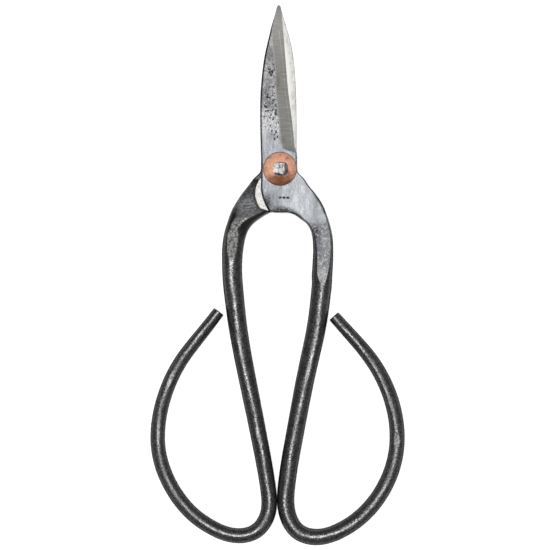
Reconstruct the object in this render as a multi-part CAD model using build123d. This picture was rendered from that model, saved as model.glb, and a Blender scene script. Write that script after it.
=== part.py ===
from build123d import *
from math import cos, radians, sin
import os

# Floral snips: two forged blades crossed on one rivet, with open bow handles and copper washers.
#
# Frame: +Z up along the pivot axis, +Y towards the blade tips. The origin is on the pivot axis, in the flat
# foot of the rivet that the closed snips lie on. Millimetres.
#
# Each half is drawn in its own frame, with the inner faces meeting at z = 0, its plate above that plane, its
# cutting edge and its handle on +X. The front half stays so. The back half is turned 180 degrees about Y.

# Stack on the pivot axis
PLATE_THICK = 3.0  # one half at the pivot
FACE_GAP = 0.1  # running gap between the two inner faces
WASHER_GAP = 0.03  # running gap under each washer
WASHER_THICK = 0.75  # at the rim
WASHER_CROWN = 0.25  # how much thicker a washer is at its hole
WASHER_RADIUS = 6.0
RIVET_RADIUS = 2.0
PIVOT_HOLE_RADIUS = 2.05
HEAD_SIDE = 5.0  # the front head is hammered square
HEAD_HEIGHT = 1.05
HEAD_BEVEL = 0.65
TAIL_RADIUS = 2.75  # the back end is peened round
TAIL_HEIGHT = 0.9
TAIL_BEVEL = 0.6

INNER_Z = FACE_GAP / 2
OUTER_Z = INNER_Z + PLATE_THICK
WASHER_BASE_Z = OUTER_Z + WASHER_GAP
WASHER_TOP_Z = WASHER_BASE_Z + WASHER_THICK + WASHER_CROWN
MID_PLANE_Z = WASHER_TOP_Z + TAIL_HEIGHT  # height of the inner faces above the rivet's foot

# Blades
SPINE_CHAMFER = 0.8
EDGE_THICK = 0.2
STRIP_THICK = 0.75  # hard steel strip let into the inner face along the cutting edge
STRIP_WIDTH = 2.4
STRIP_HEEL_Y = 7.2
STRIP_TIP_Y = 50.0
HEEL_Y = 6.2  # where the blade's bevel stops at the pivot plate

# Each row: y, spine x, ridge x (between flat and bevel), edge x, thickness
FRONT_BLADE = [
    (HEEL_Y, -6.7, 0.7, 5.2, 3.00),
    (17.0, -7.0, -0.2, 4.2, 2.75),
    (27.5, -6.83, -1.1, 2.9, 2.45),
    (35.0, -6.13, -1.6, 2.2, 2.20),
    (41.0, -5.2, -2.2, 1.75, 1.95),
    (47.0, -3.75, -2.4, 1.25, 1.65),
    (52.0, -2.6, -1.5, 0.8, 1.35),
    (56.0, -1.25, -0.45, 0.4, 1.00),
    (57.6, -0.75, -0.35, -0.1, 0.70),
]
BACK_BLADE = [
    (HEEL_Y, -5.8, 1.8, 6.2, 3.00),
    (17.0, -5.8, 0.9, 5.2, 2.75),
    (27.5, -5.6, 0.0, 4.1, 2.45),
    (35.0, -5.1, -0.7, 3.2, 2.20),
    (41.0, -4.4, -1.2, 2.5, 1.95),
    (47.0, -3.1, -1.3, 1.8, 1.65),
    (51.0, -1.9, -0.6, 1.2, 1.35),
    (54.2, -0.85, -0.1, 0.65, 1.00),
    (55.6, -0.3, 0.05, 0.3, 0.70),
]

# Pivot plates. Heel side: from the spine down round the heel to the arch. Shank side: from the notch down.
# Both sides run on into a tongue that lies inside the shank.
FRONT_HEEL_SIDE = [(-6.7, 1.0), (-6.72, -4.2), (-6.6, -7.6), (-5.75, -10.9), (-3.9, -14.5)]
FRONT_ARCH = [
    (-2.4, -15.4),
    (3.7, -15.4),
    (7.0, -17.1),
    (9.6, -19.3),
    (11.8, -22.6),
    (13.6, -29.0),
]
FRONT_SHANK_SIDE = [
    (6.3, -0.8),
    (9.1, -3.9),
    (11.6, -7.4),
    (14.05, -10.9),
    (15.8, -14.6),
    (16.6, -20.0),
    (16.2, -29.0),
]
FRONT_NOTCH = [(5.9, HEEL_Y - 0.4), (6.25, 2.5)]
BACK_HEEL_SIDE = [(-5.8, 1.0), (-5.6, -4.2), (-5.4, -7.6), (-5.1, -10.9), (-4.8, -13.4)]
BACK_ARCH = [(-3.6, -14.7), (3.2, -15.1), (7.6, -18.1), (10.2, -20.2), (12.6, -23.2), (14.8, -29.0)]
BACK_SHANK_SIDE = [
    (6.95, -0.7),
    (9.8, -3.9),
    (12.6, -7.4),
    (15.1, -10.9),
    (17.0, -14.6),
    (18.0, -20.0),
    (17.6, -29.0),
]
BACK_NOTCH = [(6.5, HEEL_Y - 0.4), (6.85, 2.5)]

# Shoulder: below the inner face the shank starts outside this circle (centre x, y, radius) and under
# SHOULDER_TOP_Y, so that it clears the other half's heel and spine as the snips open.
FRONT_SHOULDER = (0.2, -8.6, 8.0)
BACK_SHOULDER = (0.35, -8.6, 8.4)
SHOULDER_TOP_Y = -3.4

# The outer face is ground flat over the pivot, then runs out along the shank at this slope
GROUND_TILT = 0.75
GROUND_TILT_Y = -13.0

# Shank: centre x, centre y, heading in degrees from +X, half width, half height
FRONT_SHANK = [
    (7.2, -5.0, -50, 2.2, 1.0),
    (7.85, -11.4, -50, 5.3, 2.9),
    (11.1, -15.4, -67, 4.5, 3.4),
    (14.4, -21.2, -84, 3.7, 3.5),
    (15.15, -28.4, -91, 3.6, 3.55),
    (14.9, -35.0, -92, 3.6, 3.55),
]
BACK_SHANK = [
    (7.85, -5.15, -50, 2.3, 1.0),
    (8.45, -11.4, -51, 5.7, 2.9),
    (12.15, -15.7, -64, 4.95, 3.4),
    (15.1, -21.0, -82, 4.0, 3.5),
    (16.6, -28.4, -88, 3.7, 3.55),
    (16.85, -35.0, -90, 3.55, 3.5),
]

# Handles: centreline points from the shank's end to the cut end, and the rod's radius at even steps along it
FRONT_BOW = [
    (14.65, -41.0),
    (13.2, -53.0),
    (9.55, -70.6),
    (5.45, -91.7),
    (2.3, -111.0),
    (2.4, -120.4),
    (6.2, -127.2),
    (12.8, -129.25),
    (21.6, -126.75),
    (28.3, -122.2),
    (33.8, -116.2),
    (40.75, -99.55),
    (40.0, -84.45),
    (32.25, -67.2),
    (24.6, -58.0),
    (18.9, -51.65),
]
BACK_BOW = [
    (16.5, -41.0),
    (15.15, -53.0),
    (12.1, -70.6),
    (7.85, -91.7),
    (5.4, -104.6),
    (4.05, -113.5),
    (4.2, -120.7),
    (8.6, -127.25),
    (16.5, -128.65),
    (24.1, -125.85),
    (30.7, -121.2),
    (36.6, -114.25),
    (42.7, -98.6),
    (42.0, -85.05),
    (34.6, -67.05),
    (26.4, -56.4),
    (21.5, -50.0),
]
FRONT_BOW_RADII = [3.55, 3.3, 3.15, 3.08, 2.87, 2.78, 2.66, 2.5, 2.1]
BACK_BOW_RADII = [3.5, 3.15, 2.93, 2.78, 2.65, 2.58, 2.55, 2.42, 2.1]
BOW_SECTIONS = 33


def blade_section(row):
    """One cross-section of a blade, square to +Y."""
    y, spine, ridge, edge, thick = row
    top = INNER_Z + thick
    chamfer = min(SPINE_CHAMFER, 0.6 * (ridge - spine), 0.5 * thick)
    points = [
        (spine, INNER_Z),
        (spine, top - chamfer),
        (spine + chamfer, top),
        (ridge, top),
        (edge, INNER_Z + EDGE_THICK),
        (edge, INNER_Z),
    ]
    return make_face(Polyline(*[(x, y, z) for x, z in points], close=True))


def blade(rows):
    """The ground blade, from the heel to the tip."""
    return loft([blade_section(row) for row in rows], ruled=True)


def edge_strip_cutter(rows):
    """The space that the hard steel strip fills, reaching past the edge and the inner face."""
    inside = [(row[3] - STRIP_WIDTH, row[0]) for row in rows if row[0] < STRIP_TIP_Y]
    inside[0] = (inside[0][0], STRIP_HEEL_Y)
    tip_x = inside[-1][0] + STRIP_WIDTH
    outer_x = rows[0][3] + 1.0
    curve = Spline(*inside)
    corners = [curve @ 1, (tip_x, STRIP_TIP_Y), (outer_x, STRIP_TIP_Y), (outer_x, STRIP_HEEL_Y), curve @ 0]
    ring = curve + Polyline(*corners)
    below = 1.0
    return Pos(0, 0, INNER_Z - below) * extrude(make_face(ring), STRIP_THICK + below)


def plate(rows, heel_side, arch, notch, shank_side):
    """The flat pivot plate with its heel, and the tongue that runs into the shank."""
    spine_top = (rows[0][1], HEEL_Y)
    edge_top = (rows[0][3], HEEL_Y)
    left = Spline(*heel_side)
    bottom = Spline(*arch)
    right = Spline(*shank_side)
    outline = [
        Line(spine_top, left @ 0),
        left,
        Line(left @ 1, bottom @ 0),
        bottom,
        Line(bottom @ 1, right @ 1),
        right,
        Polyline(right @ 0, notch[1], notch[0], edge_top, spine_top),
    ]
    edges = [edge for curve in outline for edge in curve.edges()]
    return Pos(0, 0, INNER_Z) * extrude(make_face(edges), PLATE_THICK)


def shank_section(row):
    """One elliptical cross-section of the shank, square to its heading."""
    x, y, heading, half_width, half_height = row
    direction = (cos(radians(heading)), sin(radians(heading)), 0)
    across = (-direction[1], direction[0], 0)
    return Plane(origin=(x, y, 0), x_dir=across, z_dir=direction) * Ellipse(half_width, half_height)


def bow_radius(radii, share):
    """The handle rod's radius at a share of its length."""
    place = share * (len(radii) - 1)
    low = min(int(place), len(radii) - 2)
    return radii[low] + (place - low) * (radii[low + 1] - radii[low])


def bow_section(path, radii, share):
    """One round cross-section of the handle rod."""
    direction = path % share
    across = (-direction.Y, direction.X, 0)
    return Plane(origin=path @ share, x_dir=across, z_dir=direction) * Circle(bow_radius(radii, share))


def shank(rows, shoulder, seam):
    """The forged shank: thick outside the shoulder, ground flat on the outer face, round where the bow starts."""
    solid = loft([shank_section(row) for row in rows] + [seam])
    x, y, radius = shoulder
    far = 60.0
    below_face = Pos(x, y, INNER_Z - far / 2) * Cylinder(radius, far)
    below_top = Pos(0, SHOULDER_TOP_Y + far / 2, INNER_Z - far / 2) * Box(far, far, far)
    ground = Pos(0, GROUND_TILT_Y + far / 2, OUTER_Z + far / 2) * Box(far, far, far)
    run_out = Pos(0, GROUND_TILT_Y, OUTER_Z) * Rot(X=-GROUND_TILT) * Pos(0, -far / 2, far / 2) * Box(far, far, far)
    return solid - below_face - below_top - ground - run_out


def handle(path, radii):
    """The tapered rod bent to an open bow."""
    return loft([bow_section(path, radii, step / (BOW_SECTIONS - 1)) for step in range(BOW_SECTIONS)])


def washer():
    """A copper washer, a little crowned, with its flat side down at z = 0."""
    rim = 0.2
    profile = Polyline(
        (PIVOT_HOLE_RADIUS, 0),
        (WASHER_RADIUS - rim, 0),
        (WASHER_RADIUS, rim),
        (WASHER_RADIUS, WASHER_THICK - rim),
        (WASHER_RADIUS - rim, WASHER_THICK),
        (PIVOT_HOLE_RADIUS, WASHER_THICK + WASHER_CROWN),
        close=True,
    )
    return revolve(make_face(Plane.XZ * profile), Axis.Z)


def rivet():
    """The pivot rivet: a round shank, a head hammered square in front and a tail peened round behind."""
    length = 2 * WASHER_TOP_Z
    body = Cylinder(RIVET_RADIUS, length)
    head = chamfer(Box(HEAD_SIDE, HEAD_SIDE, HEAD_HEIGHT).edges().filter_by(Axis.Z), HEAD_BEVEL)
    head = chamfer(head.faces().sort_by(Axis.Z)[-1].edges(), HEAD_BEVEL)
    tail = Cylinder(TAIL_RADIUS, TAIL_HEIGHT)
    tail = chamfer(tail.faces().sort_by(Axis.Z)[0].edges(), TAIL_BEVEL)
    head = Pos(0, 0, WASHER_TOP_Z + HEAD_HEIGHT / 2) * head
    tail = Pos(0, 0, -WASHER_TOP_Z - TAIL_HEIGHT / 2) * tail
    return body + head + tail


def half(rows, heel_side, arch, notch, shank_side, shank_rows, shoulder, bow, radii):
    """The three solids of one half in its own frame: its blade with the shank, its edge strip and its handle."""
    path = Spline(*bow)
    hole = Cylinder(PIVOT_HOLE_RADIUS, 6 * PLATE_THICK)
    seam = bow_section(path, radii, 0)
    body = blade(rows) + plate(rows, heel_side, arch, notch, shank_side) + shank(shank_rows, shoulder, seam)
    cutter = edge_strip_cutter(rows)
    return {
        "blade": body - hole - cutter,
        "edge_steel": blade(rows) & cutter,
        "handle": handle(path, radii),
    }


def parts():
    """Every sub-part in the row frame, by node name."""
    front = half(
        FRONT_BLADE,
        FRONT_HEEL_SIDE,
        FRONT_ARCH,
        FRONT_NOTCH,
        FRONT_SHANK_SIDE,
        FRONT_SHANK,
        FRONT_SHOULDER,
        FRONT_BOW,
        FRONT_BOW_RADII,
    )
    back = half(
        BACK_BLADE,
        BACK_HEEL_SIDE,
        BACK_ARCH,
        BACK_NOTCH,
        BACK_SHANK_SIDE,
        BACK_SHANK,
        BACK_SHOULDER,
        BACK_BOW,
        BACK_BOW_RADII,
    )
    lift = Pos(0, 0, MID_PLANE_Z)
    turned = lift * Rot(Y=180)
    found = {f"front_{name}": lift * solid for name, solid in front.items()}
    found.update({f"back_{name}": turned * solid for name, solid in back.items()})
    found["front_washer"] = lift * Pos(0, 0, WASHER_BASE_Z) * washer()
    found["back_washer"] = turned * Pos(0, 0, WASHER_BASE_Z) * washer()
    found["pivot_rivet"] = lift * rivet()
    return found


if __name__ == "__main__":
    os.makedirs("parts", exist_ok=True)
    for name, solid in parts().items():
        export_step(solid, f"parts/{name}.step")
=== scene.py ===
import math
from collections import namedtuple

import bmesh
import bpy
import numpy as np
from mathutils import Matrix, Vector, noise


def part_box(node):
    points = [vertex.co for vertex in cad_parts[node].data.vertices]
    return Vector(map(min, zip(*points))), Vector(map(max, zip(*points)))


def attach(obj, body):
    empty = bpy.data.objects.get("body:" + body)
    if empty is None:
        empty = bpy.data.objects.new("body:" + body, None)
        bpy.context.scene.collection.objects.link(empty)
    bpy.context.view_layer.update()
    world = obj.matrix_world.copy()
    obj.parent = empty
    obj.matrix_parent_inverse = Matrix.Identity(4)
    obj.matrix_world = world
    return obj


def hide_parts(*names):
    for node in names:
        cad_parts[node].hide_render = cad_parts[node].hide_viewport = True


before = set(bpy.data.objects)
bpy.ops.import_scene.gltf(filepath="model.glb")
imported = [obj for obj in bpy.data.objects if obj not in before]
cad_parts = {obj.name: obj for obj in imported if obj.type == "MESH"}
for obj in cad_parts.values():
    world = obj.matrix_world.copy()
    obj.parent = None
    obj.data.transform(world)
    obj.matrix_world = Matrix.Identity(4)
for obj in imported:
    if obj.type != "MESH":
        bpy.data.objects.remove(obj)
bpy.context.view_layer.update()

# Lengths are millimetres until a mesh is made. Each half is drawn in its own frame, as in the CAD: inner
# faces at z = 0, plate above, cutting edge and handle on +X. The back half is turned over about Y.
MM = 0.001


def top_of(node):
    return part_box(node)[1].z / MM


def foot_of(node):
    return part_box(node)[0].z / MM


MID_Z = (foot_of("front_washer") + top_of("back_washer")) / 2  # height of the plane between the halves
INNER_Z = 0.05  # inner face of a half, half of the gap between the two
OUTER_Z = 3.05  # ground outer face of the pivot plate
STRIP_Z = 0.8  # height of the edge steel
STRIP_WIDTH = 2.4
STRIP_HEEL_Y = 7.2
STRIP_TIP_Y = 49.6
SLOPE_FROM_Y = -13  # below this the ground flat rises towards the handle
GROUND_SLOPE = math.tan(math.radians(0.75))
ROUGH_FROM_Y = -41.5  # below this the rod is hammered at its full depth
SEAM_Y = -41.0  # where a half's blade piece ends and its handle piece starts
WALL = 0.12  # half the height of the upright band between a rod's upper and lower rounding
OFF = 9.0  # a height above everything, for a plane that cuts nothing
HOLE_RADIUS = 2.05
FORGED_OVER = 0.3  # how far the forging stood over its flat before it was ground
SPINE_DROP = 1.1  # how far the forging rounds down at the blade's spine
PLATE_DROP = 1.3  # and at the edges of the pivot plate

# Three tiny punch marks on the pivot flat: place and radius
PUNCHES = ((0.0, -10.1, 0.36), (1.35, -10.1, 0.36), (2.7, -10.1, 0.36))

# The ground inner face ends on a disc about the pivot, given for each half, and on a straight line
# through LINE_POINT. It also covers the plate up to PLATE_RIGHT and down to PLATE_FOOT.
LINE_POINT = (7.9, -13.5)
LINE_NORMAL = (-0.279, 0.960)
PLATE_RIGHT = 6.2
PLATE_FOOT = -3.4

# ---- curves


def hermite(knots, values, at, monotone):
    """Values between rows: smooth through the rows, and without overshoot where monotone is true."""
    gap = np.diff(knots)[:, None]
    slope = np.diff(values, axis=0) / gap
    tangent = np.zeros_like(values)
    tangent[0], tangent[-1] = slope[0], slope[-1]
    before, after = gap[:-1], gap[1:]
    if monotone:
        same = slope[:-1] * slope[1:] > 0
        w1, w2 = 2 * after + before, after + 2 * before
        with np.errstate(divide="ignore", invalid="ignore"):
            middle = (w1 + w2) / (w1 / slope[:-1] + w2 / slope[1:])
        tangent[1:-1] = np.where(same, middle, 0)
    else:
        tangent[1:-1] = (slope[:-1] * after + slope[1:] * before) / (before + after)
    i = np.clip(np.searchsorted(knots, at, side="right") - 1, 0, len(knots) - 2)
    h = gap[i]
    t = ((at - knots[i]) / gap[i, 0])[:, None]
    return (
        (2 * t**3 - 3 * t**2 + 1) * values[i]
        + (t**3 - 2 * t**2 + t) * h * tangent[i]
        + (3 * t**2 - 2 * t**3) * values[i + 1]
        + (t**3 - t**2) * h * tangent[i + 1]
    )


def natural_spline(points, count):
    """Points and directions at even steps along a C2 curve through the given points."""
    p = np.array(points, float)
    k = np.concatenate([[0], np.cumsum(np.linalg.norm(np.diff(p, axis=0), axis=1))])
    n, h = len(p), np.diff(k)
    a, b = np.zeros((n, n)), np.zeros((n, 2))
    a[0, 0] = a[-1, -1] = 1
    for i in range(1, n - 1):
        a[i, i - 1], a[i, i], a[i, i + 1] = h[i - 1], 2 * (h[i - 1] + h[i]), h[i]
        b[i] = 6 * ((p[i + 1] - p[i]) / h[i] - (p[i] - p[i - 1]) / h[i - 1])
    m = np.linalg.solve(a, b)

    def at(t):
        i = np.clip(np.searchsorted(k, t, side="right") - 1, 0, n - 2)
        u, v, w = (k[i + 1] - t)[:, None], (t - k[i])[:, None], h[i][:, None]
        return (
            m[i] * u**3 / (6 * w)
            + m[i + 1] * v**3 / (6 * w)
            + (p[i] / w - m[i] * w / 6) * u
            + (p[i + 1] / w - m[i + 1] * w / 6) * v
        )

    dense = np.linspace(0, k[-1], 4000)
    length = np.concatenate([[0], np.cumsum(np.linalg.norm(np.diff(at(dense), axis=0), axis=1))])
    even = np.interp(np.linspace(0, length[-1], count), length, dense)
    way = at(np.minimum(even + 0.01, k[-1])) - at(np.maximum(even - 0.01, 0))
    return at(even), way / np.linalg.norm(way, axis=1)[:, None]


# ---- rows of the two halves
# A row is a cross-section: the places of its left and right ends, then its profile:
#   ground   height of the ground flat          top      height of the forging before grinding
#   drop_l, round_l / drop_r, round_r           how far and how wide the forging rounds down at each edge
#   edge, bevel                                 height of the cutting edge and width of the bevel
#   under    depth of the forging's under side  under_l, under_r  width of its rounding at each edge
#   flat     depth of the hammered flat on the under side of the shank
#   step_top, step_under                        column breaks next to the right edge, for the edge steel
Section = namedtuple(
    "Section",
    "lx ly rx ry ground top drop_l round_l drop_r round_r "
    "edge bevel under under_l under_r flat step_top step_under",
)
BAND = 0.314  # share of the rounding that stays below the ground flat
WANDER = 0.16  # how far a rod's crown strays, as a share of its radius
WANDER_SIZE = 9.0  # and over what length


def row(left, right, **given):
    plain = {
        "ground": OUTER_Z, "top": OUTER_Z + FORGED_OVER,
        "drop_l": PLATE_DROP, "round_l": 2.2, "drop_r": PLATE_DROP, "round_r": 2.2,
        "edge": OFF, "bevel": 1.0,
        "under": 0.0, "under_l": 1.0, "under_r": 1.0, "flat": OFF,
        "step_top": 0.5, "step_under": 0.8,
    }
    return Section(*left, *right, **(plain | given))


def blade_row(y, spine, ridge, edge, thick, band, edge_z=0.2):
    """A row across the blade, ground to an edge on the right; band is the unground border by the spine."""
    bevel = edge - ridge
    height = INNER_Z + thick
    low = INNER_Z + edge_z
    step_top = bevel * max(0.12, min(0.6, (STRIP_Z - low) / max(height - low, 0.1)))
    drop = min(SPINE_DROP, 0.8 * thick)
    return row(
        (spine, y), (edge, y),
        ground=height, top=height + FORGED_OVER, drop_l=drop, round_l=band / BAND * (drop / SPINE_DROP),
        drop_r=0.0, round_r=1.0, edge=low, bevel=bevel,
        step_top=step_top, step_under=min(STRIP_WIDTH, 0.55 * (edge - spine)),
    )


def plate_row(left, right, band_l, band_r, under=0.0):
    """A row across the pivot plate, with an unground border on both sides."""
    return row(
        left, right, round_l=band_l / BAND, round_r=band_r / BAND,
        under=under, under_l=0.6 + 0.8 * under, under_r=0.6 + 0.55 * under, flat=3.5,
    )


def shank_row(left, right, top, round_l, round_r, under, under_l, under_r, flat=3.6):
    """A row across the shank, which runs from the plate into the round rod."""
    y = (left[1] + right[1]) / 2
    return row(
        left, right,
        ground=OUTER_Z + max(0.0, SLOPE_FROM_Y - y) * GROUND_SLOPE, top=top,
        drop_l=top - WALL, round_l=round_l, drop_r=top - WALL, round_r=round_r,
        under=under, under_l=under_l, under_r=under_r, flat=flat,
    )


def rod_rows(points, radii, crowns, count=49):
    """Rows of the handle rod. A crown moves the rod's highest line off its centre, towards the left edge."""
    xy, way = natural_spline(points, count)
    share = np.linspace(0, 1, count)
    radius = hermite(np.linspace(0, 1, len(radii)), np.array(radii)[:, None], share, True)[:, 0]
    crown = hermite(np.array(crowns)[:, 0], np.array(crowns)[:, 1:], share, True)[:, 0]
    rows = []
    for i, ((x, y), (dx, dy), r, c) in enumerate(zip(xy, way, radius, crown)):
        c += WANDER * noise.noise(Vector((x / WANDER_SIZE, y / WANDER_SIZE, 3.7)))
        narrow, wide = r * (1 - c), r * (1 + c)
        rows.append(row(
            (x + dy * r, y - dx * r), (x - dy * r, y + dx * r),
            ground=OFF if i else r, top=r,
            drop_l=r - WALL, round_l=narrow, drop_r=r - WALL, round_r=wide,
            under=r, under_l=narrow, under_r=wide,
            step_top=0.3 * r, step_under=0.3 * r,
        ))
    return rows


# Blade rows: y, spine, ridge and edge in x, thickness, border. Others: left and right ends, then the rest.
FRONT_BLADE = (
    (57.5, -0.85, -0.65, 0.0, 0.75, 0.12),
    (57.2, -0.98, -0.8, 0.15, 0.8, 0.12),
    (56.2, -1.3, -1.1, 0.4, 0.9, 0.15),
    (54.0, -1.9, -1.8, 0.62, 1.15, 0.2),
    (50.8, -2.88, -2.65, 0.92, 1.4, 0.3),
    (STRIP_TIP_Y, -3.2, -2.75, 1.02, 1.48, 0.35),
    (47.0, -3.77, -2.75, 1.25, 1.65, 0.45),
    (41.0, -5.2, -2.35, 1.72, 1.95, 0.55),
    (35.0, -6.13, -1.8, 2.2, 2.2, 0.55),
    (27.5, -6.82, -1.45, 2.85, 2.45, 0.5),
    (17.0, -7.0, -0.5, 4.2, 2.75, 0.45),
    (10.0, -6.86, 0.3, 4.92, 2.95, 0.45),
    (8.6, -6.82, 0.65, 5.06, 2.98, 0.45),
    (STRIP_HEEL_Y, -6.78, 1.2, 5.3, 3.0, 0.45, 0.5),
    (6.7, -6.76, 2.0, 5.5, 3.0, 0.45, 0.9),
    (6.3, -6.75, 3.2, 5.66, 3.0, 0.45, 1.6),
    (5.9, -6.74, 4.6, 5.8, 3.0, 0.45, 2.5),
)
FRONT_PLATE = (
    ((-6.72, 5.5), (5.86, 5.5), 0.45, 0.25),
    ((-6.7, 3.5), (5.95, 3.5), 0.45, 0.3),
    ((-6.7, 1.0), (6.0, 1.2), 0.5, 0.35),
    ((-6.7, -1.3), (6.2, -0.9), 0.45, 0.3, 0.4),
    ((-6.7, -4.2), (8.43, -3.4), 0.45, 0.36, 0.8),
    ((-6.68, -7.6), (10.2, -6.0), 0.45, 0.4, 1.5),
    ((-5.85, -10.9), (12.0, -8.1), 0.48, 0.42, 2.1),
    ((-4.8, -13.3), (13.0, -9.45), 0.5, 0.46, 2.5),
    ((-3.85, -14.75), (13.75, -10.5), 0.55, 0.5, 2.7),
    ((-2.0, -15.25), (14.42, -11.6), 1.3, 0.48, 2.9),
    ((0.6, -15.35), (14.97, -12.6), 1.8, 0.46, 3.0),
    ((3.2, -15.4), (15.48, -13.6), 1.2, 0.46, 3.1),
    ((5.2, -16.1), (15.95, -14.8), 0.85, 0.5, 3.2),
)
FRONT_SHANK = (
    ((7.1, -17.5), (16.5, -16.2), 3.4, 1.5, 0.95, 3.3, 2.9, 2.6),
    ((9.15, -19.0), (17.24, -18.3), 3.45, 1.35, 1.15, 3.4, 3.2, 3.0),
    ((10.5, -21.0), (17.95, -20.8), 3.48, 1.3, 1.35, 3.45, 3.4, 3.2),
    ((11.25, -23.5), (18.44, -23.5), 3.5, 1.55, 1.5, 3.5, 3.4, 3.3),
    ((11.6, -28.0), (18.68, -28.2), 3.5, 2.1, 1.5, 3.5, 3.4, 3.3),
    ((11.4, -33.0), (18.62, -33.0), 3.5, 2.45, 1.8, 3.5, 3.4, 3.4),
    ((11.15, -37.0), (18.42, -36.9), 3.5, 2.6, 2.4, 3.5, 3.4, 3.4),
)
FRONT_BOW = [
    (14.65, -41.0), (13.2, -53.0), (9.55, -70.6), (5.45, -91.7), (2.3, -111.0), (2.4, -120.4),
    (6.2, -127.2), (12.8, -129.25), (21.6, -126.75), (28.3, -122.2), (33.8, -116.2), (40.75, -99.55),
    (40.0, -84.45), (32.25, -67.2), (24.6, -58.0), (18.9, -51.65),
]
FRONT_RADII = [3.55, 3.3, 3.15, 3.08, 2.87, 2.78, 2.66, 2.5, 2.1]
FRONT_CROWN = [
    (0.0, -0.05), (0.06, -0.08), (0.15, -0.17), (0.22, -0.10), (0.29, 0.05), (0.34, 0.02), (0.42, 0.1),
    (0.5, 0.0), (0.6, 0.1), (0.68, 0.05), (0.74, 0.0), (0.82, -0.3), (0.9, -0.2), (1.0, -0.1),
]

BACK_BLADE = (
    (55.5, -0.55, -0.35, 0.25, 0.75, 0.12),
    (55.2, -0.7, -0.5, 0.4, 0.8, 0.12),
    (54.2, -0.95, -0.75, 0.6, 0.9, 0.15),
    (51.8, -1.7, -1.4, 0.95, 1.15, 0.25),
    (STRIP_TIP_Y, -2.3, -1.9, 1.3, 1.3, 0.4),
    (47.0, -3.1, -2.0, 1.75, 1.55, 0.6),
    (41.0, -4.4, -1.6, 2.4, 1.9, 0.8),
    (35.0, -5.1, -0.9, 3.1, 2.15, 0.8),
    (27.5, -5.55, -0.1, 4.0, 2.45, 0.6),
    (17.0, -5.75, 0.9, 5.2, 2.75, 0.45),
    (10.0, -5.8, 1.5, 5.9, 2.95, 0.45),
    (8.6, -5.8, 1.7, 6.05, 2.98, 0.45),
    (STRIP_HEEL_Y, -5.8, 2.2, 6.2, 3.0, 0.45, 0.5),
    (6.7, -5.8, 3.0, 6.3, 3.0, 0.45, 0.9),
    (6.3, -5.8, 4.1, 6.4, 3.0, 0.45, 1.6),
    (5.9, -5.8, 5.3, 6.45, 3.0, 0.45, 2.5),
)
BACK_PLATE = (
    ((-5.8, 5.5), (6.5, 5.5), 0.45, 0.25),
    ((-5.8, 3.5), (6.6, 3.5), 0.45, 0.3),
    ((-5.75, 1.0), (6.65, 1.2), 0.5, 0.35),
    ((-5.7, -1.3), (7.0, -0.95), 0.55, 0.45, 0.5),
    ((-5.6, -4.2), (9.2, -3.2), 0.7, 0.6, 1.0),
    ((-5.4, -7.6), (11.1, -5.7), 0.8, 0.7, 1.7),
    ((-5.15, -10.9), (13.0, -8.1), 0.8, 0.75, 2.3),
    ((-4.8, -13.3), (14.1, -9.6), 0.75, 0.75, 2.6),
    ((-3.6, -14.6), (14.9, -10.8), 0.7, 0.75, 2.8),
    ((-1.9, -14.8), (15.55, -11.8), 0.6, 0.75, 2.9),
    ((0.6, -14.9), (16.1, -12.8), 0.6, 0.75, 3.0),
    ((3.2, -15.2), (16.7, -13.8), 0.6, 0.75, 3.1),
    ((5.15, -16.15), (17.2, -15.0), 0.6, 0.8, 3.2),
)
BACK_SHANK = (
    ((7.2, -17.5), (17.8, -16.5), 3.4, 1.5, 1.5, 3.3, 3.8, 2.6, 3.25),
    ((9.6, -19.4), (18.6, -18.9), 3.45, 1.35, 1.4, 3.45, 5.7, 2.3, 3.2),
    ((10.98, -21.2), (19.25, -20.8), 3.48, 1.3, 1.45, 3.5, 6.4, 2.8, 3.1),
    ((11.97, -23.6), (19.85, -23.5), 3.5, 1.55, 1.5, 3.5, 4.9, 2.5, 3.0),
    ((12.88, -28.0), (20.35, -28.0), 3.5, 2.1, 1.5, 3.5, 4.3, 3.2, 3.0),
    ((13.3, -33.0), (20.38, -33.0), 3.5, 2.45, 1.8, 3.5, 3.8, 3.0, 3.45),
    ((13.3, -37.0), (20.3, -37.0), 3.48, 2.6, 2.4, 3.48, 3.75, 2.9, 3.5),
)
BACK_BOW = [
    (16.5, -41.0), (15.15, -53.0), (12.1, -70.6), (7.85, -91.7), (5.4, -104.6), (4.05, -113.5),
    (4.2, -120.7), (8.6, -127.25), (16.5, -128.65), (24.1, -125.85), (30.7, -121.2), (36.6, -114.25),
    (42.7, -98.6), (42.0, -85.05), (34.6, -67.05), (26.4, -56.4), (21.5, -50.0),
]
BACK_RADII = [3.5, 3.15, 2.93, 2.78, 2.65, 2.58, 2.55, 2.42, 2.1]
BACK_CROWN = [
    (0.0, -0.12), (0.06, -0.04), (0.15, -0.1), (0.25, -0.04), (0.35, 0.0), (0.42, -0.05), (0.5, 0.0),
    (0.6, 0.05), (0.68, 0.0), (0.74, -0.1), (0.8, 0.15), (0.88, 0.1), (1.0, 0.1),
]

# Places where the hammer left a rod flatter: middle of the place, its reach along the rod, its depth
FRONT_FLATS = (
    (41.3, -95.2, 3.4, 0.32), (38.8, -82.5, 4.0, 0.14), (9.4, -71.5, 6.0, 0.13), (33.3, -115.7, 5.0, 0.12),
)
BACK_FLATS = (
    (38.3, -73.4, 6.0, 0.20), (43.0, -91.5, 11.0, 0.13), (36.9, -113.0, 4.0, 0.12), (7.4, -93.0, 7.0, 0.12),
)

# ---- one half as rings of vertices

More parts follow.
